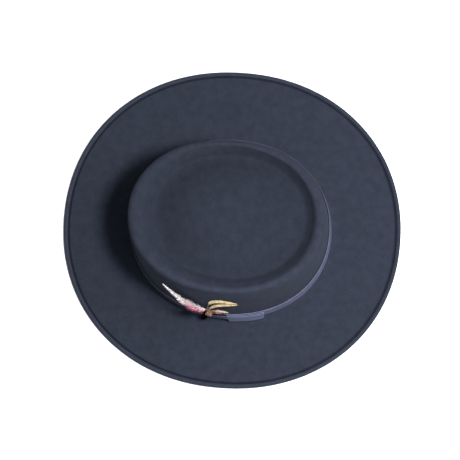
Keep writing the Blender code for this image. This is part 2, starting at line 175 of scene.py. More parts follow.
# Crown sections from the middle of the top down to the foot
# length share of CROWN_LENGTH, width share of CROWN_WIDTH, height share of CROWN_HEIGHT,
# forward and bow_side: how far the section's middle stands towards the front and the bow
CROWN_SECTIONS = (
    {"name": "dome_inner", "length": 0.196, "width": 0.183, "height": 0.972,
     "forward": 0.0025, "bow_side": 0.0010},
    {"name": "dome_middle", "length": 0.392, "width": 0.361, "height": 0.957,
     "forward": 0.0025, "bow_side": 0.0010},
    {"name": "dome_outer", "length": 0.539, "width": 0.508, "height": 0.92,
     "forward": 0.0024, "bow_side": 0.0010},
    {"name": "moat_inner", "length": 0.637, "width": 0.594, "height": 0.887,
     "forward": 0.0024, "bow_side": 0.0010},
    {"name": "moat_floor", "length": 0.696, "width": 0.65, "height": 0.874,
     "forward": 0.0024, "bow_side": 0.0010},
    {"name": "moat_outer", "length": 0.745, "width": 0.687, "height": 0.882,
     "forward": 0.0025, "bow_side": 0.0011},
    {"name": "slope", "length": 0.795, "width": 0.727, "height": 0.935,
     "forward": 0.0030, "bow_side": 0.0014},
    {"name": "bead_inner", "length": 0.838, "width": 0.768, "height": 0.983,
     "forward": 0.0045, "bow_side": 0.0023},
    {"name": "bead_top", "length": 0.877, "width": 0.791, "height": 1.0,
     "forward": 0.0056, "bow_side": 0.0029},
    {"name": "bead_outer", "length": 0.923, "width": 0.825, "height": 0.991,
     "forward": 0.0060, "bow_side": 0.0029},
    {"name": "shoulder", "length": 0.954, "width": 0.845, "height": 0.957,
     "forward": 0.0059, "bow_side": 0.0027},
    {"name": "side_high", "length": 0.966, "width": 0.858, "height": 0.87,
     "forward": 0.0053, "bow_side": 0.0025},
    {"name": "side_upper", "length": 0.972, "width": 0.899, "height": 0.7,
     "forward": 0.0044, "bow_side": 0.0023},
    {"name": "side_middle", "length": 0.978, "width": 0.9395, "height": 0.5,
     "forward": 0.0034, "bow_side": 0.0021},
    {"name": "band_top", "length": 0.986, "width": 0.9787, "height": 0.29,
     "forward": 0.0024, "bow_side": 0.0018},
    {"name": "side_foot", "length": 0.994, "width": 0.9927, "height": 0.14,
     "forward": 0.0015, "bow_side": 0.0015},
    {"name": "foot", "length": 1.0, "width": 1.0, "height": 0.05,
     "forward": 0.0009, "bow_side": 0.0014},
    {"name": "break_high", "length": 1.006, "width": 1.006, "height": 0.034,
     "forward": 0.0008, "bow_side": 0.0013},
    {"name": "break_low", "length": 1.024, "width": 1.026, "height": 0.025,
     "forward": 0.0005, "bow_side": 0.0010},
)
SIDE_NAMES = ("shoulder", "side_high", "side_upper", "side_middle", "band_top", "side_foot", "foot")
SIDE_ROWS = [row for row in reversed(CROWN_SECTIONS) if row["name"] in SIDE_NAMES]

# Sections the hollow passes by, and how far inward and down from the felt the others stand,
# in felt thicknesses. The sides stand inward by one thickness, the top down by one.
HOLLOW_SKIPS = ("break_low", "break_high", "bead_inner")
HOLLOW_INSETS = {
    "shoulder": (1.0, 0.25),
    "bead_outer": (0.86, 0.8),
    "slope": (-0.55, 0.9),
    "moat_outer": (-0.55, 0.9),
}

# Bow, measured along the hat from its middle, positive towards the back
LOOP_START = 0.0005
LOOP_SLANT = 0.0032
LOOP_END = 0.0370
LOOP_DEPTH = 0.0030
LOOP_HEIGHT = 0.0188
LOOP_CLOSE = 0.45
TAIL_END = -0.0390
TAIL_HEIGHT = 0.0175
TAIL_FLARE = 0.0012
TAIL_START_FLARE = 0.0010

# The loop's path: share of its reach, share of its depth away from the crown
LOOP_PATH = (
    {"reach": 0.0, "depth": 0.0},
    {"reach": 0.25, "depth": 0.0},
    {"reach": 0.5, "depth": 0.0},
    {"reach": 0.75, "depth": 0.0},
    {"reach": 0.93, "depth": 0.0},
    {"reach": 1.0, "depth": 0.28},
    {"reach": 1.0, "depth": 0.72},
    {"reach": 0.93, "depth": 1.0},
    {"reach": 0.75, "depth": 1.04},
    {"reach": 0.5, "depth": 1.03},
    {"reach": 0.25, "depth": 1.0},
    {"reach": 0.0, "depth": 0.97},
)
TAIL_STEPS = (0.0, 0.2, 0.4, 0.6, 0.8, 1.0)

# Feather sections: share of the feather's own length, half width as a share of its own width
PLUME_SECTIONS = (
    {"along": 0.0, "half_width": 0.12},
    {"along": 0.12, "half_width": 0.32},
    {"along": 0.28, "half_width": 0.46},
    {"along": 0.46, "half_width": 0.50},
    {"along": 0.60, "half_width": 0.42},
    {"along": 0.74, "half_width": 0.26},
    {"along": 0.88, "half_width": 0.17},
    {"along": 1.0, "half_width": 0.04},
)
BLADE_SECTIONS = (
    {"along": 0.0, "half_width": 0.16},
    {"along": 0.15, "half_width": 0.30},
    {"along": 0.35, "half_width": 0.46},
    {"along": 0.60, "half_width": 0.50},
    {"along": 0.82, "half_width": 0.36},
    {"along": 1.0, "half_width": 0.06},
)

# The binding, where the quills meet
BINDING_Y = -0.0172
BINDING_TOP = 0.0415
BINDING_RADIUS = 0.0022
THREAD_TURNS = 16
THREAD_RINGS = 12
THREAD_SIDES = 28
THREAD_RIDGE = 0.00016
THREAD_INSET = 0.00018
THREAD_END = 0.55
THREAD_SWELL = 12
QUILL_TOP = BINDING_TOP + PIECE_GAP
QUILL_SPREAD = 0.0006
PLUME_DROP = 0.0005
STUB_DROP = 0.0012

# Each feather's middle line starts, bends and ends at (place along the hat, height).
# lift and rise: how far it stands off the crown, and how much more at its tip.
# twist: how far its face turns to the sky. quill: radius at the root.
PLUME = {"start": (BINDING_Y - BINDING_RADIUS - PIECE_GAP * 2, BINDING_TOP - PLUME_DROP),
         "bend": (-0.0400, 0.0548), "end": (-0.0607, 0.0800), "width": 0.0150,
         "sections": PLUME_SECTIONS, "lift": 0.0032, "rise": 0.0020, "twist": 0.10, "quill": 0.00055}
GOLD_UPPER = {"start": (BINDING_Y - QUILL_SPREAD, QUILL_TOP),
              "bend": (-0.0202, 0.0788), "end": (0.0115, 0.0608), "width": 0.0066,
              "sections": BLADE_SECTIONS, "lift": 0.0017, "rise": 0.0, "twist": 0.42, "quill": 0.00018}
GOLD_LOWER = {"start": (BINDING_Y + QUILL_SPREAD, QUILL_TOP),
              "bend": (-0.0127, 0.0657), "end": (0.0114, 0.0622), "width": 0.0062,
              "sections": BLADE_SECTIONS, "lift": 0.0031, "rise": 0.0, "twist": 0.42, "quill": 0.00018}
STUB = {"start": (BINDING_Y + BINDING_RADIUS + PIECE_GAP, BINDING_TOP - STUB_DROP),
        "bend": (-0.0058, 0.0463), "end": (0.0027, 0.0381), "width": 0.0048,
        "sections": BLADE_SECTIONS, "lift": 0.0036, "rise": 0.0, "twist": 0.35, "quill": 0.00018}

# Steps used to measure which way a feather lies
SHARE_STEP = 0.01
FRAME_STEP = 0.001

# Kinds of barb. reach: length as a share of the feather's half width, and extra beyond it.
# slant: angle towards the tip. puff: swing away from the crown, down to the share low of it.
# curl: bend towards the tip. root: start as a share of the half width. raise: start off the quill.
DOWN = {"reach": 0.95, "extra": 0.0026, "slant": 0.75, "puff": 0.0052, "low": 0.15, "curl": 0.0024,
        "width": 0.00017, "thickness": 0.00008, "root": 0.0, "raise": 0.0008}
VANE = {"reach": 1.0, "extra": 0.0002, "slant": 1.05, "puff": 0.0004, "low": 0.5, "curl": 0.0003,
        "width": 0.00024, "thickness": 0.00007, "root": 0.0, "raise": 0.0}
FLAT_VANE = {**VANE, "slant": 0.95, "puff": 0.0003, "curl": 0.0002, "extra": 0.0001, "width": 0.00030}
TIP_VANE = {**VANE, "puff": 0.0010, "low": 0.3}
RED_EDGE = {**DOWN, "reach": 0.44, "extra": 0.0010, "puff": 0.0024, "low": 0.0, "root": 0.44,
            "width": 0.00026, "raise": 0.0026}

# How barbs differ from each other, and how they thin out
BARB_JITTER = 0.7
BARB_SHORTEST = 0.75
BARB_VARIES = 0.35
SLANT_LEAST = 0.85
SLANT_VARIES = 0.3
CURL_BACK = 0.3
CURL_SIDEWAYS = 0.1
BARB_TAPER = 0.82
BARB_TAPER_POWER = 1.5
BARB_STEPS = 5
STRAND_THINNEST = 0.25

# Quills
SHAFT_RINGS = 28
SHAFT_SIDES = 6
SHAFT_TAPER = 0.8

# Groups of barbs: how many, from and to which share of the feather, on which sides, +1 up the crown
UPPER_SIDE = (1,)
LOWER_SIDE = (-1,)
BOTH_SIDES = (-1, 1)
WHITE_BARBS = (
    {"feather": PLUME, "count": 150, "from": 0.00, "to": 0.44, "sides": UPPER_SIDE,
     "kind": {**DOWN, "puff": 0.0040}},
    {"feather": PLUME, "count": 50, "from": 0.02, "to": 0.40, "sides": LOWER_SIDE,
     "kind": {**DOWN, "reach": 0.45, "extra": 0.0010, "puff": 0.0030}},
    {"feather": PLUME, "count": 70, "from": 0.40, "to": 0.58, "sides": BOTH_SIDES,
     "kind": {**DOWN, "reach": 0.62, "extra": 0.0014, "puff": 0.0032}},
    {"feather": PLUME, "count": 60, "from": 0.55, "to": 0.76, "sides": BOTH_SIDES,
     "kind": {**DOWN, "reach": 0.50, "extra": 0.0006, "puff": 0.0020}},
    {"feather": PLUME, "count": 140, "from": 0.56, "to": 0.975, "sides": BOTH_SIDES, "kind": TIP_VANE},
    {"feather": PLUME, "count": 140, "from": 0.56, "to": 0.975, "sides": BOTH_SIDES, "kind": TIP_VANE},
)
PINK_BARBS = (
    {"feather": PLUME, "count": 60, "from": 0.02, "to": 0.46, "sides": UPPER_SIDE,
     "kind": {**DOWN, "puff": 0.0050}},
    {"feather": PLUME, "count": 110, "from": 0.06, "to": 0.52, "sides": LOWER_SIDE,
     "kind": {**DOWN, "reach": 0.6, "extra": 0.0010, "puff": 0.0044}},
    {"feather": STUB, "count": 46, "from": 0.22, "to": 0.52, "sides": UPPER_SIDE,
     "kind": {**DOWN, "reach": 1.2, "extra": 0.0014, "puff": 0.0030}},
)
RED_BARBS = (
    {"feather": PLUME, "count": 300, "from": 0.02, "to": 0.32, "sides": LOWER_SIDE, "kind": RED_EDGE},
)
ROOT_BARBS = (
    {"feather": STUB, "count": 60, "from": 0.0, "to": 0.50, "sides": BOTH_SIDES,
     "kind": {**DOWN, "reach": 0.5, "extra": 0.0010, "puff": 0.0026}},
)
BLADES = (
    {"name": "gold_vane_upper", "node": "feather_gold_upper", "feather": GOLD_UPPER,
     "finish": "gold_vane", "from": 0.22, "to": 0.97},
    {"name": "gold_vane_lower", "node": "feather_gold_lower", "feather": GOLD_LOWER,
     "finish": "gold_vane", "from": 0.10, "to": 0.97},
    {"name": "olive_vane_stub", "node": "feather_stub", "feather": STUB,
     "finish": "olive_vane", "from": 0.05, "to": 0.97},
)
BLADE_BARBS = 90

# Seeds of the random draws
PLUME_SEED = 7
BLADE_SEED = 15
ROOT_SEED = 11
TUFT_SEED = 5

# Loose hair over the binding, and black strands below it that are painted shade where the feathers' shadow
# falls on the ribbon
HAIR_THICKNESS = 0.00009
HAIR_STEPS = (0.0, 0.25, 0.5, 0.75, 1.0)
ROOT_HAIRS = 110
ROOT_DEPTH = 0.0090
ROOT_SPREAD = 0.0050
ROOT_LENGTH = 0.0012
ROOT_LENGTH_EXTRA = 0.0016
ROOT_DROOP = 0.0008
ROOT_SWAY = 0.9
ROOT_OUT = 0.40
OUT_STEP = 0.010
ROOT_TAPER = (0.00020, 0.00018, 0.00014, 0.00009, 0.00004)
TUFT_HAIRS = 240
TUFT_Y = -0.0212
TUFT_WIDTH = 0.0044
TUFT_DROP = 0.0165
TUFT_TOP_SPREAD = 0.0040
TUFT_GATHER = 0.2
TUFT_TOP_LIFT = 0.0034
TUFT_TOP_LIFT_EXTRA = 0.0010
TUFT_FOOT = 0.0060
TUFT_FOOT_SPREAD = 0.0060
TUFT_FOOT_LIFT = 0.0042
TUFT_FOOT_LIFT_EXTRA = 0.0026
TUFT_FOOT_SWAY = 0.0010
TUFT_SWAY = 0.0008
TUFT_TAPER = (0.00020, 0.00024, 0.00022, 0.00016, 0.00005)

# Colours of the feathers: stops of (share, colour), fineness of the blend, roughness, sheen
FINISHES = (
    {"name": "plume_white_down", "scale": 160.0, "roughness": 0.6, "sheen": 0.2,
     "stops": ((0.35, (0.66, 0.57, 0.59)), (0.60, (0.90, 0.87, 0.88)))},
    {"name": "plume_pink_down", "scale": 200.0, "roughness": 0.6, "sheen": 0.2,
     "stops": ((0.35, (0.70, 0.34, 0.40)), (0.65, (0.78, 0.56, 0.58)))},
    {"name": "plume_red_edge", "scale": 260.0, "roughness": 0.6, "sheen": 0.2,
     "stops": ((0.35, (0.20, 0.010, 0.040)), (0.65, (0.36, 0.030, 0.095)))},
    {"name": "gold_vane", "scale": 240.0, "roughness": 0.45, "sheen": 0.2,
     "stops": ((0.30, (0.30, 0.19, 0.07)), (0.5, (0.47, 0.37, 0.19)), (0.7, (0.72, 0.63, 0.44)))},
    {"name": "olive_vane", "scale": 260.0, "roughness": 0.45, "sheen": 0.2,
     "stops": ((0.35, (0.20, 0.15, 0.06)), (0.65, (0.46, 0.40, 0.24)))},
    {"name": "wound_thread", "scale": 400.0, "roughness": 0.6, "sheen": 0.2,
     "stops": ((0.3, (0.07, 0.035, 0.02)), (0.7, (0.15, 0.08, 0.045)))},
    {"name": "root_orange_down", "scale": 420.0, "roughness": 0.6, "sheen": 0.2,
     "stops": ((0.36, (0.07, 0.045, 0.015)), (0.5, (0.36, 0.15, 0.06)), (0.66, (0.62, 0.38, 0.31)))},
    # Near-black strands that stand for painted shade below the binding
    {"name": "painted_shadow_black", "scale": 300.0, "roughness": 1.0, "sheen": 0.0,
     "stops": ((0.3, (0.002, 0.002, 0.003)), (0.7, (0.006, 0.006, 0.007)))},
)

# Felt finish. Clouds are fineness, detail and roughness. Bumps are strength and depth.
FELT_TONES = ((0.30, (0.0172, 0.0206, 0.0300)), (0.70, (0.0218, 0.0260, 0.0382)))
FELT_FLECKS = ((0.25, (0.72, 0.72, 0.72)), (0.75, (1.25, 1.25, 1.28)))
FLECK_SHARE = 0.8
FELT_CLOUD = (130.0, 4.0, 0.55)
FELT_FIBRE = (900.0, 6.0, 0.7)
FELT_NAP = (420.0, 8.0, 0.75)
FELT_BUMP = (0.35, 0.0006)
FELT_SHADER = {"Roughness": 0.95, "Specular IOR Level": 0.0, "Sheen Weight": 0.015,
               "Sheen Roughness": 0.45, "Sheen Tint": (0.75, 0.85, 1.0, 1.0)}

# Specks of lint on the felt: how close, how round, how many are left out, and their colour
LINT_SCALE = 240.0
LINT_EDGE = ((0.045, (1.0, 1.0, 1.0)), (0.075, (0.0, 0.0, 0.0)))
LINT_LEFT_OUT = 0.955
LINT_COLOUR = (0.085, 0.095, 0.115, 1.0)

# Ribbon finish
RIBBON_COLOURS = ((0.3, (0.082, 0.090, 0.150)), (0.7, (0.104, 0.114, 0.186)))
RIBBON_CLOUD = (60.0, 3.0, 0.55)
RIBBON_THREAD = (1800.0, 3.0, 0.55)
RIBBON_BUMP = (0.25, 0.0003)
RIBBON_SHADER = {"Roughness": 0.5, "Specular IOR Level": 0.2}

# Feather finish
FEATHER_CLOUD = (4.0, 0.6)
FEATHER_FINE = (2500.0, 3.0, 0.55)
FEATHER_BUMP = (0.2, 0.0002)

# Camera, as it stands in the photograph
CAMERA_TILT = math.radians(9.07)
CAMERA_TURN = math.radians(-91.0)
HAT_YAW = math.radians(-4.14)
CAMERA_DISTANCE = 2.083
IMAGE_SIZE = 460
PIXELS_PER_METRE = 984.5
SENSOR = 36.0
IMAGE_SHIFT_RIGHT = 2.3
IMAGE_SHIFT_DOWN = -1.3

# Light: a lamp high on the right of the photograph, a wide window lower on that side, a dim sky
LAMPS = (
    {"name": "key_light", "place": (0.06, 0.250, 1.00), "size": 0.18, "power": 17.0},
    {"name": "window_light", "place": (-0.25, 0.90, 0.62), "size": 0.80, "power": 8.5},
    {"name": "side_light", "place": (0.85, 0.72, 0.32), "size": 0.50, "power": 4.0},
)
SKY_STRENGTH = 0.40

# Floor
FLOOR_SHADER = {"Base Color": (0.75, 0.75, 0.75, 1.0), "Specular IOR Level": 0.0, "Roughness": 0.9}
FLOOR_HALF = 4.0
FLOOR_DROP = 0.0003


def new_material(name, shading):
    """A new material with its shader's values set."""
    material = bpy.data.materials.new(name)
    material.use_nodes = True
    nodes = material.node_tree.nodes
    shader = nodes["Principled BSDF"]
    for key, value in shading.items():
        shader.inputs[key].default_value = value
    return material, nodes, material.node_tree.links, shader


def colour_ramp(nodes, links, source, stops):
    """Colours blended between stops of (share, colour), chosen by the source."""
    ramp = nodes.new("ShaderNodeValToRGB")
    elements = ramp.color_ramp.elements
    while len(elements) < len(stops):
        elements.new(0.5)
    for element, (place, colour) in zip(elements, stops):
        element.position = place
        element.color = (*colour, 1.0)
    links.new(source, ramp.inputs["Fac"])
    return ramp.outputs["Color"]


def cloud_node(nodes, links, place, scale, detail, roughness):
    """An uneven pattern in space."""
    node = nodes.new("ShaderNodeTexNoise")
    node.inputs["Scale"].default_value = scale
    node.inputs["Detail"].default_value = detail
    node.inputs["Roughness"].default_value = roughness
    links.new(place, node.inputs["Vector"])
    return node.outputs["Fac"]


def add_bump(nodes, links, shader, height, strength, depth):
    """Fine relief on the surface."""
    bump = nodes.new("ShaderNodeBump")
    bump.inputs["Strength"].default_value = strength
    bump.inputs["Distance"].default_value = depth
    links.new(height, bump.inputs["Height"])
    links.new(bump.outputs["Normal"], shader.inputs["Normal"])


def lint_mask(nodes, links, place):
    """Small round specks, most of them left out."""
    specks = nodes.new("ShaderNodeTexVoronoi")
    specks.inputs["Scale"].default_value = LINT_SCALE
    links.new(place, specks.inputs["Vector"])
    edge = colour_ramp(nodes, links, specks.outputs["Distance"], LINT_EDGE)
    choice = nodes.new("ShaderNodeSeparateColor")
    links.new(specks.outputs["Color"], choice.inputs["Color"])
    few = nodes.new("ShaderNodeMath")
    few.operation = "GREATER_THAN"
    few.inputs[1].default_value = LINT_LEFT_OUT
    links.new(choice.outputs["Red"], few.inputs[0])
    lint = nodes.new("ShaderNodeMath")
    lint.operation = "MULTIPLY"
    links.new(few.outputs[0], lint.inputs[0])
    links.new(edge, lint.inputs[1])
    return lint.outputs[0]


def felt_material():
    """Dark blue-black wool: a soft cloud, fine flecks, a little lint, and a tone from the mesh that is
    painted light and shade, with some real wear on the bead.
    """
    material, nodes, links, shader = new_material("wool_felt_fine", FELT_SHADER)
    place = nodes.new("ShaderNodeTexCoord").outputs["Object"]
    tone = colour_ramp(nodes, links, cloud_node(nodes, links, place, *FELT_CLOUD), FELT_TONES)
    fleck = colour_ramp(nodes, links, cloud_node(nodes, links, place, *FELT_FIBRE), FELT_FLECKS)
    mixed = nodes.new("ShaderNodeMixRGB")
    mixed.blend_type = "MULTIPLY"
    mixed.inputs["Fac"].default_value = FLECK_SHARE
    links.new(tone, mixed.inputs["Color1"])
    links.new(fleck, mixed.inputs["Color2"])
    pale = nodes.new("ShaderNodeMixRGB")
    pale.inputs["Color2"].default_value = LINT_COLOUR
    links.new(lint_mask(nodes, links, place), pale.inputs["Fac"])
    links.new(mixed.outputs["Color"], pale.inputs["Color1"])
    # Painted light and shade, with some wear, scale the felt's colour
    wear_and_light_node = nodes.new("ShaderNodeAttribute")
    wear_and_light_node.attribute_name = "wear_and_painted_light"
    wear_and_light_scaled = nodes.new("ShaderNodeVectorMath")
    wear_and_light_scaled.operation = "SCALE"
    links.new(pale.outputs["Color"], wear_and_light_scaled.inputs[0])
    links.new(wear_and_light_node.outputs["Fac"], wear_and_light_scaled.inputs["Scale"])
    links.new(wear_and_light_scaled.outputs["Vector"], shader.inputs["Base Color"])
    add_bump(nodes, links, shader, cloud_node(nodes, links, place, *FELT_NAP), *FELT_BUMP)
    return material


def ribbon_material():
    """Grey-blue grosgrain, with painted light from the mesh: paler towards the lamps, darker in the shade
    round the crown.
    """
    material, nodes, links, shader = new_material("grosgrain_ribbon", RIBBON_SHADER)
    place = nodes.new("ShaderNodeTexCoord").outputs["Object"]
    tone = colour_ramp(nodes, links, cloud_node(nodes, links, place, *RIBBON_CLOUD), RIBBON_COLOURS)
    # Painted light: the ribbon's colour is scaled by the tone stored on the mesh
    painted_light_node = nodes.new("ShaderNodeAttribute")
    painted_light_node.attribute_name = "wear_and_painted_light"
    scaled = nodes.new("ShaderNodeVectorMath")
    scaled.operation = "MULTIPLY"
    links.new(tone, scaled.inputs[0])
    links.new(painted_light_node.outputs["Vector"], scaled.inputs[1])
    links.new(scaled.outputs["Vector"], shader.inputs["Base Color"])
    add_bump(nodes, links, shader, cloud_node(nodes, links, place, *RIBBON_THREAD), *RIBBON_BUMP)
    return material


def feather_material(name, stops, scale, roughness, sheen):
    """Colour that varies along and across the barbs, from a few stops."""
    shading = {"Roughness": roughness, "Sheen Weight": sheen, "Specular IOR Level": sheen}
    material, nodes, links, shader = new_material(name, shading)
    place = nodes.new("ShaderNodeTexCoord").outputs["Object"]
    tone = colour_ramp(nodes, links, cloud_node(nodes, links, place, scale, *FEATHER_CLOUD), stops)
    links.new(tone, shader.inputs["Base Color"])
    add_bump(nodes, links, shader, cloud_node(nodes, links, place, *FEATHER_FINE), *FEATHER_BUMP)
    return material


def oval_point(angle, half_length, half_width, power):
    """A point of a squarish oval, by angle from +X towards +Y."""
    cosine = math.cos(angle)
    sine = math.sin(angle)
    reach = (abs(cosine / half_width) ** power + abs(sine / half_length) ** power) ** (-1 / power)
    return reach * cosine, reach * sine


def row_at(rows, key, value):
    """A table's columns at a value of its rising key, blended between the two rows round it."""
    for low, high in zip(rows, rows[1:]):
        if value <= high[key]:
            break
    mix = min(1.0, (value - low[key]) / (high[key] - low[key]))
    return {name: low[name] + (high[name] - low[name]) * mix for name in low if name != "name"}


def side_size(height):
    """Half length, half width and the forward and bow side places of the crown's side at a height."""
    share = max(SIDE_ROWS[0]["height"], min(SIDE_ROWS[-1]["height"], height / CROWN_HEIGHT))
    row = row_at(SIDE_ROWS, "height", share)
    return row["length"] * CROWN_LENGTH / 2, row["width"] * CROWN_WIDTH / 2, row["forward"], row["bow_side"]


def crown_point(angle, height, lift):
    """A point lifted straight out from the crown's side, by angle from +X towards +Y."""
    half_length, half_width, forward, bow_side = side_size(height)
    across, along = oval_point(angle, half_length, half_width, OVAL_POWER_CROWN)
    power = OVAL_POWER_CROWN - 1
    out = Vector((math.copysign(abs(across / half_width) ** power, across) / half_width,
                  math.copysign(abs(along / half_length) ** power, along) / half_length, 0.0)).normalized()
    return Vector((across + bow_side, along - forward, height)) + out * lift


def side_point(along, height, lift):
    """The same by the distance along the hat, on the bow side."""
    half_length, half_width, forward, _ = side_size(height)
    share = (along + forward) / half_length
    across = half_width * (1 - abs(share) ** OVAL_POWER_CROWN) ** (1 / OVAL_POWER_CROWN)
    return crown_point(math.atan2(share * half_length, across), height, lift)


def spline(rows, steps):
    """Smooth points through the given ones, as a Catmull-Rom curve."""
    points = [Vector(row) for row in rows]
    made = []
    last = len(points) - 1
    for index in range(last):
        before = points[max(0, index - 1)]
        one = points[index]
        two = points[index + 1]
        after = points[min(last, index + 2)]
        for step in range(steps):
            t = step / steps
            made.append(0.5 * ((2 * one) + (two - before) * t
                               + (2 * before - 5 * one + 4 * two - after) * t * t
                               + (3 * one - before - 3 * two + after) * t * t * t))
    made.append(points[-1])
    return made


def finish_mesh(name, data, material):
    """Turns built faces into a smooth piece of the scene."""
    bmesh.ops.recalc_face_normals(data, faces=data.faces)
    mesh = bpy.data.meshes.new(name)
    data.to_mesh(mesh)
    data.free()
    for face in mesh.polygons:
        face.use_smooth = True
    mesh.materials.append(material)
    item = bpy.data.objects.new(name, mesh)
    bpy.context.scene.collection.objects.link(item)
    return item


def outer_profile():
    """Felt sections from the crown's middle to the brim's rim, outside.

    Each is half length, half width, height, oval power, forward and bow side place.
    """
    crown = [(row["length"] * CROWN_LENGTH / 2, row["width"] * CROWN_WIDTH / 2, row["height"] * CROWN_HEIGHT,
              OVAL_POWER_CROWN, row["forward"], row["bow_side"]) for row in CROWN_SECTIONS]
    rim_length = BRIM_LENGTH / 2
    rim_width = BRIM_WIDTH / 2
    start_length, start_width = crown[-1][0], crown[-1][1]
    brim = []
    for share in BRIM_SHARES:
        half_length = start_length + (rim_length - EDGE_WIDTH - GROOVE_WIDTH - start_length) * share
        half_width = start_width + (rim_width - EDGE_WIDTH - GROOVE_WIDTH - start_width) * share
        power = OVAL_POWER_CROWN + (OVAL_POWER_BRIM - OVAL_POWER_CROWN) * share
        brim.append((half_length, half_width, FELT_THICKNESS, power, 0.0, 0.0))
    edge = [(rim_length - row["inset"], rim_width - row["inset"], row["height"], OVAL_POWER_BRIM, 0.0, 0.0)
            for row in EDGE_ROWS]
    return crown + brim + edge


def inner_profile():
    """Felt sections of the hollow, from the head opening up to the crown's middle."""
    rows = []
    opening = FELT_THICKNESS + OPENING_FLARE
    _, _, forward, bow_side = side_size(0.0)
    rows.append((CROWN_LENGTH / 2 + opening, CROWN_WIDTH / 2 + opening, 0.0, OVAL_POWER_CROWN,
                 forward, bow_side))
    rows.append((CROWN_LENGTH / 2 - LIP_INSET, CROWN_WIDTH / 2 - LIP_INSET, LIP_HEIGHT,
                 OVAL_POWER_CROWN, forward, bow_side))
    for row in reversed(CROWN_SECTIONS):
        name = row["name"]
        if name in HOLLOW_SKIPS:
            continue
        if name in SIDE_NAMES[1:]:
            inward, down = 1.0, 0.0
        else:
            inward, down = HOLLOW_INSETS.get(name, (0.0, 1.0))
        rows.append((row["length"] * CROWN_LENGTH / 2 - inward * FELT_THICKNESS,
                     row["width"] * CROWN_WIDTH / 2 - inward * FELT_THICKNESS,
                     row["height"] * CROWN_HEIGHT - down * FELT_THICKNESS, OVAL_POWER_CROWN,
                     row["forward"], row["bow_side"]))
    return rows


def felt_wear_and_painted_light(across, along, height, ring):
    """How pale or dark the felt is painted at a place: painted light and shade on the top with some wear on
    the bead, painted sheen on the bow side, painted shade in the groove and a painted highlight on the edge.
    """
    reach = across * across + along * along or 1.0
    to_bow = across * abs(across) / reach
    to_back = along * abs(along) / reach
    if height > TOP_BEGINS:
        row = row_at(TOP_WEAR_AND_PAINTED_LIGHT, "ring", ring / (CROWN_LENGTH / 2))
        weights = {"back": to_back, "front": -to_back, "bow": to_bow, "far": -to_bow}
        return sum(row[side] * max(0.0, weights[side]) for side in weights) or row["front"]
    # Painted sheen on the bow side of the crown's wall
    if height > CROWN_BEGINS:
        return 1.0 + BOW_SIDE_PAINTED_SHEEN * max(0.0, to_bow)
    # Painted shade in the brim's groove, and a painted highlight on its edge, less at the back
    inset = BRIM_LENGTH / 2 - ring
    if inset < EDGE_ZONE:
        return GROOVE_PAINTED_SHADE if inset > GROOVE_BEGINS else EDGE_PAINTED_HIGHLIGHT - EDGE_PAINTED_HIGHLIGHT_BACK * to_back
    return 1.0


def felt_hat(material):
    """The blocked felt: a fine closed wall with the small unevenness of hand work."""
    outer = spline(outer_profile(), PROFILE_STEPS)
    inner = spline(inner_profile(), PROFILE_STEPS)
    data = bmesh.new()
    tone = data.verts.layers.float.new("wear_and_painted_light")
    top = CROWN_HEIGHT * DOME_TOP
    rings = []
    for rows, is_outer in ((outer, True), (inner, False)):
        for half_length, half_width, height, power, forward, bow_side in rows:
            ring = []
            for step in range(FELT_SEGMENTS):
                angle = 2 * math.pi * step / FELT_SEGMENTS
                across, along = oval_point(angle, half_length, half_width, power)
                vertex = data.verts.new((across + bow_side, along - forward, height))
                # Painted light and shade, partly wear, stored on the outer felt
                vertex[tone] = felt_wear_and_painted_light(across, along, height, half_length) if is_outer else 1.0
                ring.append(vertex)
            rings.append(ring)
    middle = CROWN_SECTIONS[0]
    first = data.verts.new((middle["bow_side"], -middle["forward"], top))
    last = data.verts.new((middle["bow_side"], -middle["forward"], top - FELT_THICKNESS))
    first[tone] = TOP_WEAR_AND_PAINTED_LIGHT[0]["front"]
    last[tone] = 1.0
    for step in range(FELT_SEGMENTS):
        after = (step + 1) % FELT_SEGMENTS
        data.faces.new((first, rings[0][step], rings[0][after]))
        data.faces.new((last, rings[-1][after], rings[-1][step]))
        for upper, lower in zip(rings, rings[1:]):
            data.faces.new((upper[step], lower[step], lower[after], upper[after]))
    for vertex in data.verts:
        place = vertex.co.copy()
        if place.z < FLAT_BELOW:
            continue
        wave = noise.noise(place * BROAD_WAVES) * FELT_WAVE
        wave += noise.noise(place * FINE_WAVES) * FELT_WAVE * FINE_SHARE
        share = min(1.0, place.z / FULL_WAVE_HEIGHT)
        vertex.co.z = max(0.0, place.z + wave * (LOW_WAVE + (1 - LOW_WAVE) * share) * UPWARD_WAVE)
        radial = Vector((place.x, place.y, 0.0))
        if radial.length > SIDE_BEGINS_RADIUS and place.z > SIDE_BEGINS_HEIGHT:
            vertex.co += radial.normalized() * wave * share
    return finish_mesh("felt_hat", data, material)


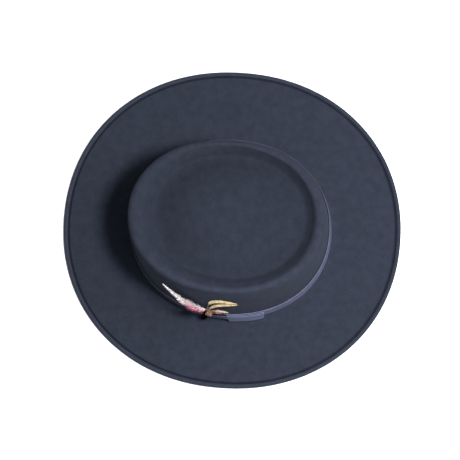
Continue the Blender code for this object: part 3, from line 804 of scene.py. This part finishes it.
def ribbon(name, stations, low, high, thickness, material, closed=False):
    """A grosgrain ribbon. stations is a list of functions that give a point from a height."""
    data = bmesh.new()
    columns = []
    count = len(stations)
    for index, station in enumerate(stations):
        before = stations[index - 1] if index > 0 or closed else stations[index]
        after = stations[(index + 1) % count] if index < count - 1 or closed else stations[index]
        rib = math.cos(math.pi * index)
        outer = []
        inner = []
        for row in RIBBON_ROWS:
            height = low + (high - low) * row["height"]
            point = station(height)
            along = (after(height) - before(height)).normalized()
            up = (station(height + HALF_STEP) - station(height - HALF_STEP)).normalized()
            out = along.cross(up).normalized()
            half = thickness / 2 * row["thickness"]
            outer.append(data.verts.new(point + out * (half + RIB_DEPTH * (rib - 1) / 2)))
            inner.append(data.verts.new(point - out * (half + RIB_DEPTH * (rib - 1) / 2)))
        columns.append(outer + inner[::-1])
    size = len(columns[0])
    pairs = list(zip(columns, columns[1:]))
    if closed:
        pairs.append((columns[-1], columns[0]))
    for one, two in pairs:
        for step in range(size):
            after = (step + 1) % size
            data.faces.new((one[step], two[step], two[after], one[after]))
    if not closed:
        half = size // 2
        for column in (columns[0], columns[-1]):
            for step in range(half - 1):
                data.faces.new((column[step], column[step + 1],
                                column[size - 2 - step], column[size - 1 - step]))
    # Painted light stored on the ribbon, paler towards the lamps and darker in the shade
    tone = data.verts.layers.float.new("wear_and_painted_light")
    for vertex in data.verts:
        vertex[tone] = ribbon_painted_light(vertex.co.x, vertex.co.y)
    return finish_mesh(name, data, material)


def ribbon_painted_light(across, along):
    """How much painted light the ribbon gets at a place round the crown."""
    return row_at(RIBBON_PAINTED_LIGHT, "turn", math.degrees(math.atan2(along, across)))["tone"]


def band(material):
    """The ribbon round the foot of the crown, and the length of ribbon in it."""
    length, width, _, _ = side_size(BAND_FOOT)
    around = math.pi * (3 * (length + width) - math.sqrt((3 * length + width) * (length + 3 * width)))
    count = int(around / (RIB_PITCH / 2)) // 2 * 2
    lift = PIECE_GAP + RIBBON_THICKNESS / 2
    stations = [lambda height, angle=2 * math.pi * step / count: crown_point(angle, height, lift)
                for step in range(count)]
    piece = ribbon("ribbon_band", stations, BAND_FOOT, BAND_TOP, RIBBON_THICKNESS, material, closed=True)
    return piece, around


def slanted(along, low_lift, high_lift, pull):
    """A bow station: a column of ribbon whose foot is drawn along by the slant."""
    def station(height):
        share = (height - BAND_FOOT) / LOOP_HEIGHT
        lift = low_lift + (high_lift - low_lift) * share
        return side_point(along + LOOP_SLANT * pull * (1 - share), height, lift)
    return station


def path_stations(path):
    """Stations a small step apart along a path of (along, low lift, high lift, pull) points."""
    smooth = spline(path, PATH_STEPS)
    steps = [(two.xy - one.xy).length for one, two in zip(smooth, smooth[1:])]
    total = sum(steps)
    count = max(FEWEST_STATIONS, int(total / (RIB_PITCH / 2)))
    dense = []
    walked = 0.0
    for one, two, length in zip(smooth, smooth[1:], steps):
        while len(dense) * total / count < walked + length and len(dense) < count:
            share = (len(dense) * total / count - walked) / length
            dense.append(one.lerp(two, share))
        walked += length
    dense.append(smooth[-1])
    return [slanted(*at) for at in dense], total


def bow(material):
    """The flat bow: a folded loop to the back with a slanted end, and a stiff tail to the front."""
    layer = RIBBON_THICKNESS
    seat = PIECE_GAP + layer + PIECE_GAP + layer / 2
    reach = LOOP_END - LOOP_START
    fold = LOOP_DEPTH - layer
    loop = []
    for row in LOOP_PATH:
        share = row["reach"]
        along = LOOP_START + reach * share if share < 1 else LOOP_END - layer / 2
        lift = fold * row["depth"]
        loop.append((along, seat + lift, seat + lift * (1 - LOOP_CLOSE), 1 - share))
    stations, length = path_stations(loop)
    top = BAND_FOOT + LOOP_HEIGHT
    loop_piece = ribbon("bow_loop_ribbon", stations, BAND_FOOT, top, layer, material)
    dress(loop_piece, ["bow_loop"])

    tail_start = LOOP_START - PIECE_GAP - layer
    tail_reach = tail_start - TAIL_END
    tail = []
    for share in TAIL_STEPS:
        flare = TAIL_START_FLARE + (TAIL_FLARE - TAIL_START_FLARE) * share
        tail.append((tail_start - tail_reach * share, seat, seat + flare, 1 - share))
    stations, length = path_stations(tail)
    tail_piece = ribbon("bow_tail_ribbon", stations, BAND_FOOT, BAND_FOOT + TAIL_HEIGHT, layer, material)
    dress(tail_piece, ["bow_tail"])


def dress(piece, nodes):
    """Hides the frame's parts that a piece replaces, and attaches the piece to the root body."""
    if nodes:
        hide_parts(*nodes)
    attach(piece, "root")


def quill_point(row, share):
    """A point of a feather's bent middle line, as place along the hat and height."""
    start, bend, end = (Vector(row[key]) for key in ("start", "bend", "end"))
    return start * (1 - share) ** 2 + bend * 2 * share * (1 - share) + end * share ** 2


def feather_frame(row, share):
    """Middle point, sideways, onward and outward directions of a feather at a share of its length.

    Sideways points up the crown, and twist turns the feather's face to the sky.
    """
    lift = row["lift"] + row["rise"] * math.sin(share * math.pi / 2)
    middle = quill_point(row, share)
    before = quill_point(row, share - SHARE_STEP)
    after = quill_point(row, share + SHARE_STEP)
    centre = side_point(middle.x, middle.y, lift)
    onward = (side_point(after.x, after.y, lift) - side_point(before.x, before.y, lift)).normalized()
    upward = side_point(middle.x, middle.y + FRAME_STEP, lift) - side_point(middle.x, middle.y, lift)
    ahead = side_point(middle.x + FRAME_STEP, middle.y, lift) - side_point(middle.x, middle.y, lift)
    outward = ahead.cross(upward).normalized()
    sideways = outward.cross(onward).normalized()
    if sideways.z < 0:
        sideways.negate()
    turned = sideways * math.cos(row["twist"]) - outward * math.sin(row["twist"])
    outward = outward * math.cos(row["twist"]) + sideways * math.sin(row["twist"])
    return centre, turned, onward, outward


def close_tube(data, rings):
    """Faces between rings of points, and a face over each end."""
    count = len(rings[0])
    for one, two in zip(rings, rings[1:]):
        for step in range(count):
            after = (step + 1) % count
            data.faces.new((one[step], one[after], two[after], two[step]))
    data.faces.new(rings[0][::-1])
    data.faces.new(rings[-1])


def add_strand(data, points, widths, across, thickness):
    """A tapered flat strand through points. across is the way of its width."""
    rings = []
    for index, point in enumerate(points):
        before = points[max(0, index - 1)]
        after = points[min(len(points) - 1, index + 1)]
        way = (after - before).normalized()
        side = across - way * across.dot(way)
        side.normalize()
        out = way.cross(side)
        width = widths[index]
        deep = max(thickness * width / max(widths), thickness * STRAND_THINNEST)
        rings.append([data.verts.new(point + side * width * a + out * deep * b)
                      for a, b in ((-1, 0), (0, 1), (1, 0), (0, -1))])
    close_tube(data, rings)


def round_ring(data, middle, side, other, size, count):
    """A ring of points round a middle, in the plane of two directions."""
    ring = []
    for step in range(count):
        turn = 2 * math.pi * step / count
        ring.append(data.verts.new(middle + (side * math.cos(turn) + other * math.sin(turn)) * size))
    return ring


def shaft(data, row):
    """The quill: a tapered round rod along the middle line."""
    rings = []
    for index in range(SHAFT_RINGS):
        share = index / (SHAFT_RINGS - 1)
        centre, sideways, _, outward = feather_frame(row, share)
        size = row["quill"] * (1 - SHAFT_TAPER * share)
        rings.append(round_ring(data, centre, sideways, outward, size, SHAFT_SIDES))
    close_tube(data, rings)


def barb(data, row, rng, share, sign, kind):
    """One barb on a side of a quill, +1 up the crown."""
    centre, sideways, onward, outward = feather_frame(row, share)
    half = row_at(row["sections"], "along", share)["half_width"] * row["width"]
    length = half * kind["reach"] + kind["extra"] * rng.random()
    length *= BARB_SHORTEST + BARB_VARIES * rng.random()
    slant = kind["slant"] * (SLANT_LEAST + SLANT_VARIES * rng.random())
    way = (sideways * sign * math.cos(slant) + onward * math.sin(slant)).normalized()
    swing = outward * kind["puff"] * (rng.random() - kind["low"])
    curl = onward * kind["curl"] * (rng.random() - CURL_BACK)
    curl += sideways * sign * CURL_SIDEWAYS * kind["curl"]
    root = centre + sideways * sign * half * kind["root"] + outward * kind["raise"] * rng.random()
    steps = [step / BARB_STEPS for step in range(BARB_STEPS + 1)]
    points = [root + way * length * t + swing * (t * (2 - t)) + curl * t * t for t in steps]
    widths = [kind["width"] * (1.0 - BARB_TAPER * t ** BARB_TAPER_POWER) for t in steps]
    add_strand(data, points, widths, onward, kind["thickness"])


def barbs(data, rng, groups):
    """All the barbs of the groups, each group spread evenly along its feather."""
    for group in groups:
        count = group["count"]
        for index in range(count):
            step = index + rng.random() * BARB_JITTER
            share = group["from"] + (group["to"] - group["from"]) * step / count
            for sign in group["sides"]:
                barb(data, group["feather"], rng, share, sign, group["kind"])


def plume(finishes):
    """The long feather: a smooth white tip, white and pink down, and a red lower edge near its root."""
    rng = random.Random(PLUME_SEED)
    data = bmesh.new()
    shaft(data, PLUME)
    barbs(data, rng, WHITE_BARBS)
    dress(finish_mesh("plume_down", data, finishes["plume_white_down"]), ["plume_white"])

    data = bmesh.new()
    barbs(data, rng, PINK_BARBS)
    dress(finish_mesh("plume_pink_down", data, finishes["plume_pink_down"]), [])

    data = bmesh.new()
    barbs(data, rng, RED_BARBS)
    dress(finish_mesh("plume_red_barbs", data, finishes["plume_red_edge"]), [])


def blade(row, finishes):
    """A small smooth feather: two layers of close barbs that lie flat, on a fine quill."""
    rng = random.Random(BLADE_SEED)
    data = bmesh.new()
    shaft(data, row["feather"])
    group = {"feather": row["feather"], "count": BLADE_BARBS, "from": row["from"], "to": row["to"],
             "sides": BOTH_SIDES, "kind": FLAT_VANE}
    barbs(data, rng, (group, group))
    dress(finish_mesh(row["name"], data, finishes[row["finish"]]), [row["node"]])


def binding(material):
    """The wrapped quills: close turns of thread round an upright roll."""
    lift = BINDING_RADIUS + PIECE_GAP * 1.5
    low = side_point(BINDING_Y, BAND_TOP + PIECE_GAP * 2, lift)
    high = side_point(BINDING_Y, BINDING_TOP, lift)
    way = (high - low).normalized()
    side = way.cross(Vector((0, 1, 0))).normalized()
    other = way.cross(side)
    data = bmesh.new()
    rings = []
    for step in range(THREAD_TURNS * THREAD_RINGS + 1):
        share = step / (THREAD_TURNS * THREAD_RINGS)
        ridge = 0.5 - 0.5 * math.cos(2 * math.pi * step / THREAD_RINGS)
        ends = min(1.0, THREAD_END + THREAD_SWELL * min(share, 1 - share))
        size = (BINDING_RADIUS - THREAD_INSET + THREAD_RIDGE * ridge) * ends
        rings.append(round_ring(data, low.lerp(high, share), side, other, size, THREAD_SIDES))
    close_tube(data, rings)
    dress(finish_mesh("binding_thread", data, material), ["feather_binding"])


def root_down(material):
    """Short orange and pink down over the top of the binding, where all the quills meet."""
    rng = random.Random(ROOT_SEED)
    data = bmesh.new()
    for _ in range(ROOT_HAIRS):
        share = rng.random()
        height = BINDING_TOP - PLUME_DROP - ROOT_DEPTH * share * share
        along = BINDING_Y + (rng.random() - 0.30) * ROOT_SPREAD
        root = side_point(along, height, BINDING_RADIUS * 2 + PIECE_GAP * 2 + PIECE_GAP * rng.random())
        out = (side_point(along, height, OUT_STEP) - root).normalized()
        way = Vector((0.0, ROOT_SWAY * (rng.random() - 0.5), ROOT_SWAY * (rng.random() - 0.15)))
        way += out * ROOT_OUT
        way.normalize()
        length = ROOT_LENGTH + ROOT_LENGTH_EXTRA * rng.random()
        droop = Vector((0.0, 0.0, -ROOT_DROOP * rng.random()))
        points = [root + way * length * t + droop * t * t for t in HAIR_STEPS]
        add_strand(data, points, ROOT_TAPER, Vector((0, 1, 0)), HAIR_THICKNESS)
    barbs(data, rng, ROOT_BARBS)
    dress(finish_mesh("root_down", data, material), [])


def painted_shadow_tuft(material):
    """Black strands below the binding, over the ribbon: painted shade where the feathers' shadow falls."""
    rng = random.Random(TUFT_SEED)
    data = bmesh.new()
    for _ in range(TUFT_HAIRS):
        along = TUFT_Y + (rng.random() - 0.5) * TUFT_WIDTH
        height = BINDING_TOP - TUFT_DROP - TUFT_TOP_SPREAD * rng.random()
        gathered = along * (1 - TUFT_GATHER) + BINDING_Y * TUFT_GATHER
        top = side_point(gathered, height, TUFT_TOP_LIFT + TUFT_TOP_LIFT_EXTRA * rng.random())
        foot_height = TUFT_FOOT + TUFT_FOOT_SPREAD * rng.random()
        foot_along = along + TUFT_FOOT_SWAY * (rng.random() - 0.5)
        foot_lift = TUFT_FOOT_LIFT + TUFT_FOOT_LIFT_EXTRA * rng.random()
        foot = side_point(foot_along, foot_height, foot_lift)
        sway = Vector((0.0, TUFT_SWAY * (rng.random() - 0.5), 0.0))
        points = [top.lerp(foot, t) + sway * math.sin(t * math.pi) for t in HAIR_STEPS]
        add_strand(data, points, TUFT_TAPER, Vector((0, 1, 0)), HAIR_THICKNESS)
    dress(finish_mesh("painted_shadow_strands", data, material), [])


def camera():
    """The camera of the photograph, high above the wearer's left side."""
    data = bpy.data.cameras.new("photo_camera")
    data.sensor_width = SENSOR
    data.lens = PIXELS_PER_METRE * CAMERA_DISTANCE / IMAGE_SIZE * SENSOR
    item = bpy.data.objects.new("photo_camera", data)
    bpy.context.scene.collection.objects.link(item)
    back = Vector((math.sin(CAMERA_TILT) * math.cos(CAMERA_TURN),
                   math.sin(CAMERA_TILT) * math.sin(CAMERA_TURN), math.cos(CAMERA_TILT)))
    right = Vector((0, 1, 0)).cross(back).normalized()
    up = back.cross(right)
    unturn = Matrix.Rotation(-HAT_YAW, 3, "Z")
    to_hat = Matrix(((0, -1, 0), (1, 0, 0), (0, 0, 1)))
    right, up, back = (to_hat @ (unturn @ axis) for axis in (right, up, back))
    target = (-right * IMAGE_SHIFT_RIGHT + up * IMAGE_SHIFT_DOWN) / PIXELS_PER_METRE
    basis = Matrix((right, up, back)).transposed().to_4x4()
    basis.translation = target + back * CAMERA_DISTANCE
    item.matrix_world = basis
    bpy.context.scene.camera = item


def lights():
    """The lamps, all turned to the hat, and the sky."""
    for row in LAMPS:
        lamp = bpy.data.lights.new(row["name"], "AREA")
        lamp.shape = "DISK"
        lamp.size = row["size"]
        lamp.energy = row["power"]
        item = bpy.data.objects.new(row["name"], lamp)
        bpy.context.scene.collection.objects.link(item)
        item.location = row["place"]
        item.rotation_mode = "QUATERNION"
        item.rotation_quaternion = Vector(row["place"]).to_track_quat("Z", "Y")
    world = bpy.data.worlds.new("studio_sky")
    world.use_nodes = True
    world.node_tree.nodes["Background"].inputs["Color"].default_value = (1.0, 1.0, 1.0, 1.0)
    world.node_tree.nodes["Background"].inputs["Strength"].default_value = SKY_STRENGTH
    bpy.context.scene.world = world
    bpy.context.scene.view_settings.view_transform = "Standard"


def floor():
    """A pale studio floor just below the brim."""
    material = new_material("studio_floor", FLOOR_SHADER)[0]
    data = bmesh.new()
    bmesh.ops.create_grid(data, x_segments=1, y_segments=1, size=FLOOR_HALF)
    item = finish_mesh("studio_floor", data, material)
    item.location.z = -FLOOR_DROP


def main():
    """Builds the hat's pieces from the felt outwards, then the studio."""
    dress(felt_hat(felt_material()), ["felt_body"])

    grosgrain = ribbon_material()
    strip, around = band(grosgrain)
    dress(strip, ["hat_band"])
    bow(grosgrain)

    finishes = {row["name"]: feather_material(**row) for row in FINISHES}
    plume(finishes)
    for row in BLADES:
        blade(row, finishes)
    binding(finishes["wound_thread"])
    root_down(finishes["root_orange_down"])
    # Black strands as painted shade below the binding
    painted_shadow_tuft(finishes["painted_shadow_black"])

    camera()
    lights()
    floor()


main()
